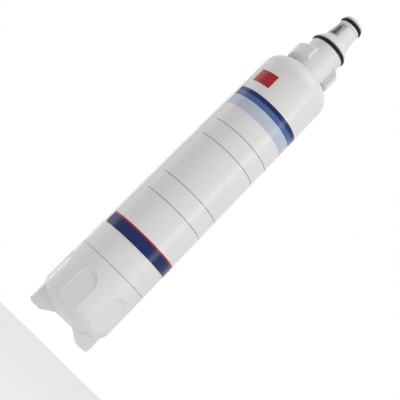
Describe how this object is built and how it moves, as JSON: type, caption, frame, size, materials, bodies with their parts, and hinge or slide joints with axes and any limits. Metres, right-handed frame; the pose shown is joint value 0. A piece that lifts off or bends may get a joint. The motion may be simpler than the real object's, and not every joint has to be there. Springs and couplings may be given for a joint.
{
  "type": "water filter cartridge",
  "caption": "Slim twist-in water filter cartridge with a bayonet neck, a tapered sealing nose, a wrap-round label and a fishtail turning fin.",
  "frame": {"origin": "on the cartridge's axis at the root of the neck, where the shoulder ends and the filter head takes hold", "axes": "+Z along the axis towards the nose, -Y towards the front of the label, +X to the right as the label faces the viewer"},
  "size_m": [0.0702, 0.0702, 0.3736],
  "materials": {
    "shell_plastic": "satin moulded white",
    "cap_plastic": "satin moulded white",
    "seal_rubber": "greased black rubber",
    "label_film": "glossy white film",
    "ink_deep_blue": "glossy deep blue print",
    "ink_mid_blue": "glossy mid blue print",
    "ink_pale_blue": "glossy pale blue print",
    "ink_red": "glossy red print",
    "natural_plastic": "natural moulded plastic",
    "glue": "hot-melt glue",
    "carbon": "pressed carbon grain",
    "felt": "white felt"
  },
  "bodies": {
    "root": {"shell": "shell_plastic", "bottom_cap": "cap_plastic", "large_o_ring": "seal_rubber", "small_o_ring": "seal_rubber", "label_film": "label_film", "label_blue_fields": "ink_deep_blue", "label_mid_blue_field": "ink_mid_blue", "label_pale_blue_field": "ink_pale_blue", "label_red_fields": "ink_red", "label_rules": "ink_mid_blue", "upper_end_cap": "natural_plastic", "upper_spigot_seal": "seal_rubber", "lower_spigot_seal": "seal_rubber", "lower_end_cap": "natural_plastic", "upper_bond": "glue", "lower_bond": "glue", "carbon_block": "carbon", "core_tube": "natural_plastic", "prefilter_wrap": "felt", "outer_net": "natural_plastic"}
  },
  "joints": []
}
